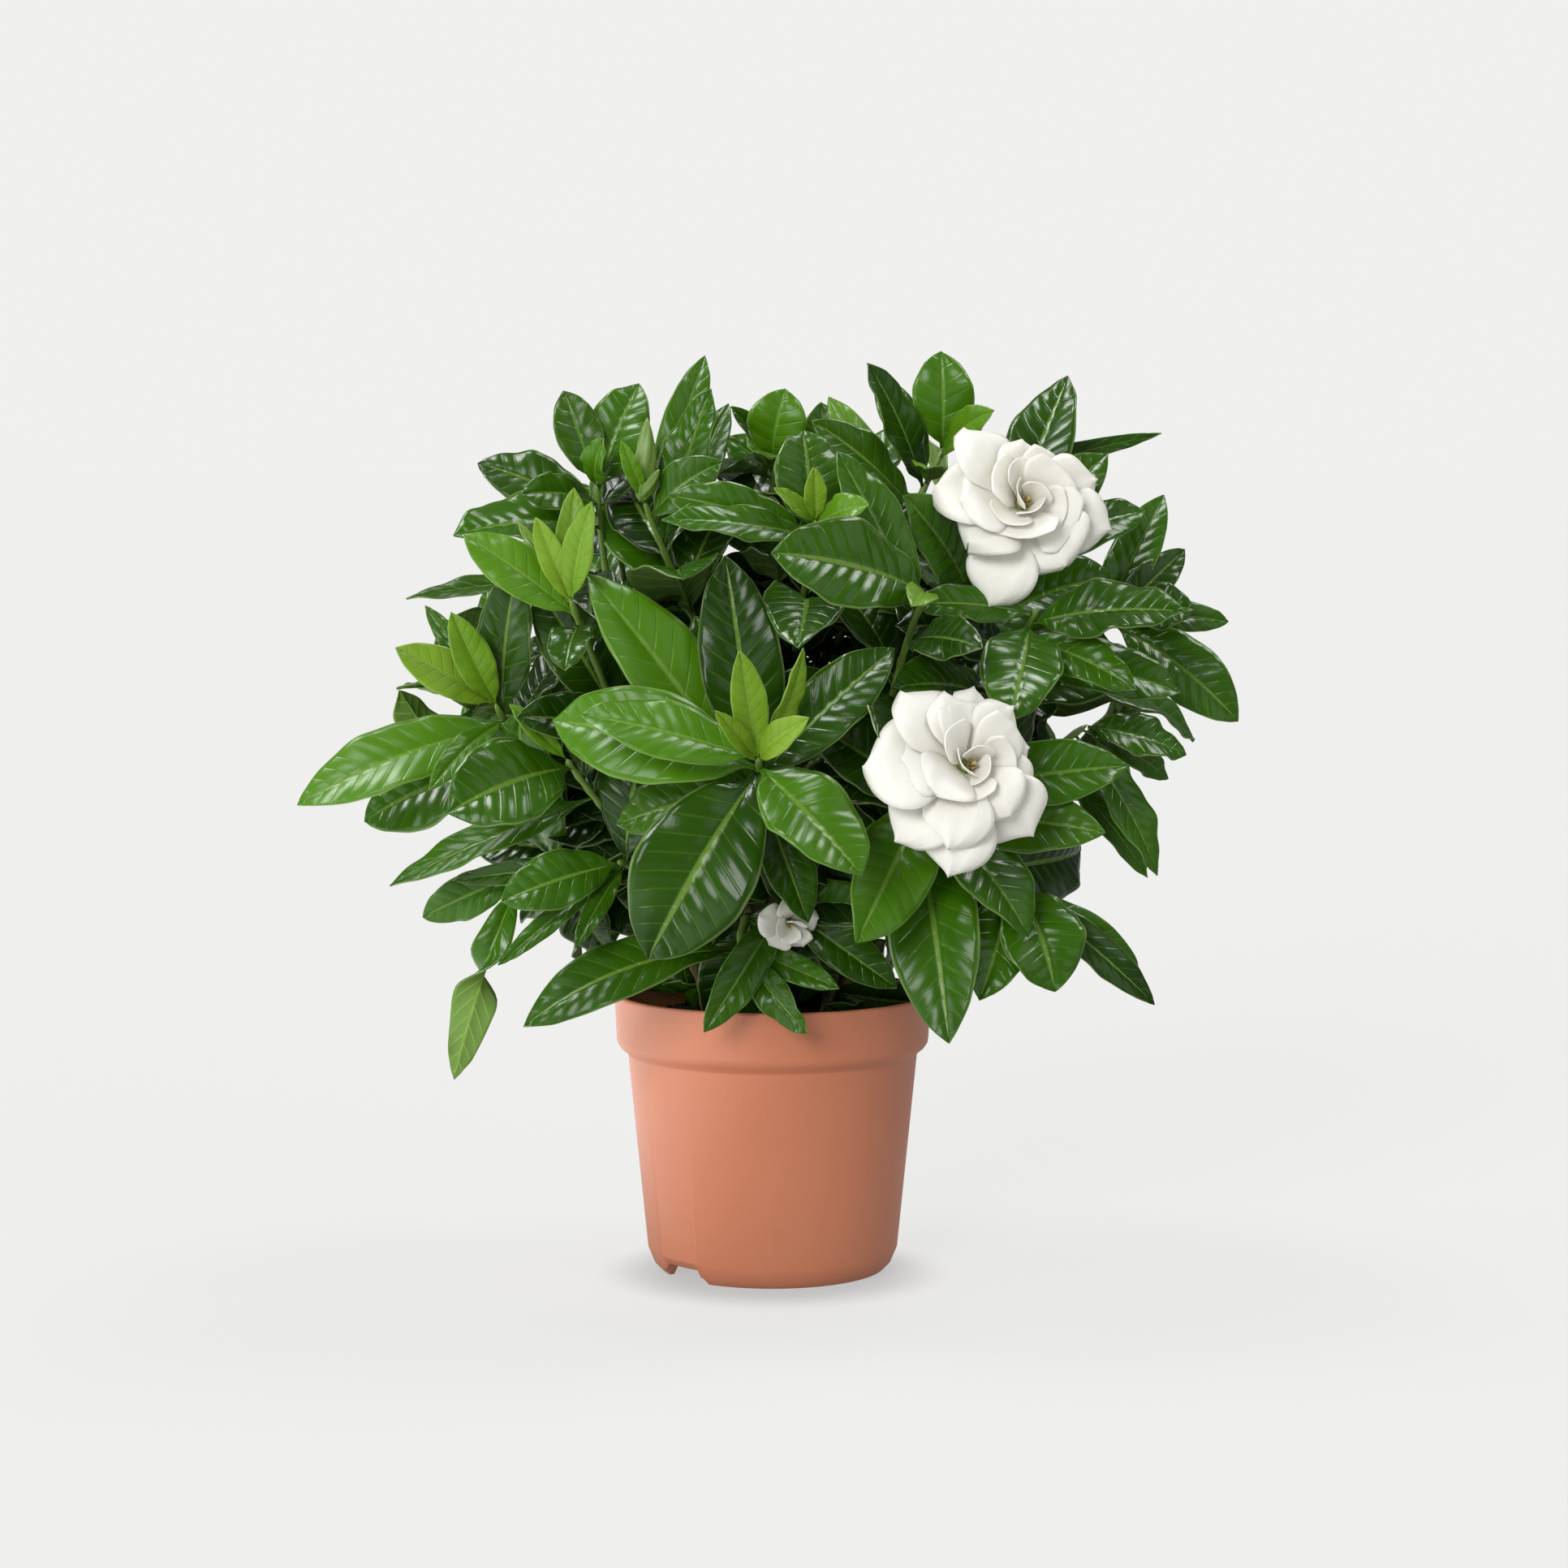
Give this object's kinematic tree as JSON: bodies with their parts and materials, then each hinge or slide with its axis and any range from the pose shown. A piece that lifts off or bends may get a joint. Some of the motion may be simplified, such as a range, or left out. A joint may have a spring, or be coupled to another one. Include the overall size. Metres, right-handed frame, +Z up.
{
  "type": "potted gardenia",
  "caption": "Gardenia bush with glossy waved leaves and double white blooms, growing in a tapered plastic nursery pot with a collar.",
  "frame": {"origin": "on the ground under the middle of the pot's foot, which is also the middle of the foliage's width and depth", "axes": "+Z up, -Y towards the front with the open blooms, +X to the right seen from the front"},
  "size_m": [0.373, 0.3102, 0.376],
  "materials": {
    "pot": "satin terracotta-coloured plastic",
    "soil": "crumbly dark potting mix",
    "stem_bark": "rough grey-green bark",
    "leaf": "glossy leaf, dark when old and yellow-green when young",
    "petal": "soft matt white petal",
    "stamen": "matt brown-yellow"
  },
  "bodies": {
    "root": {"pot": "pot", "potting_soil": "soil", "main_stem_1": "stem_bark", "main_stem_2": "stem_bark", "main_stem_3": "stem_bark", "main_stem_4": "stem_bark", "main_stem_5": "stem_bark", "main_stem_6": "stem_bark", "main_stem_7": "stem_bark", "main_stem_8": "stem_bark", "bloom_front_petals": "petal", "bloom_front_stamens": "stamen", "bloom_upper_petals": "petal", "bloom_upper_stamens": "stamen", "bloom_low_petals": "petal", "bloom_low_stamens": "stamen", "shoot_front": "leaf", "shoot_front_bloom": "leaf", "shoot_upper_bloom": "leaf", "shoot_right": "leaf", "shoot_crown_right": "leaf", "shoot_centre": "leaf", "shoot_centre_right": "leaf", "shoot_left_cluster": "leaf", "shoot_upper_left": "leaf", "shoot_bud": "leaf", "shoot_crown": "leaf", "shoot_left": "leaf", "shoot_left_low": "leaf", "shoot_lower_left": "leaf", "shoot_left_droop": "leaf", "shoot_right_far": "leaf", "shoot_right_low": "leaf", "shoot_lower_right": "leaf", "shoot_low_bloom": "leaf", "shoot_bottom": "leaf", "shoot_back_right": "leaf", "shoot_back": "leaf", "shoot_back_left": "leaf", "shoot_back_far_right": "leaf", "shoot_back_far_left": "leaf", "shoot_back_middle": "leaf", "shoot_back_low_right": "leaf", "shoot_back_low_left": "leaf", "shoot_side_right": "leaf", "shoot_side_left": "leaf", "shoot_top_back": "leaf", "shoot_top_left": "leaf"}
  },
  "joints": []
}
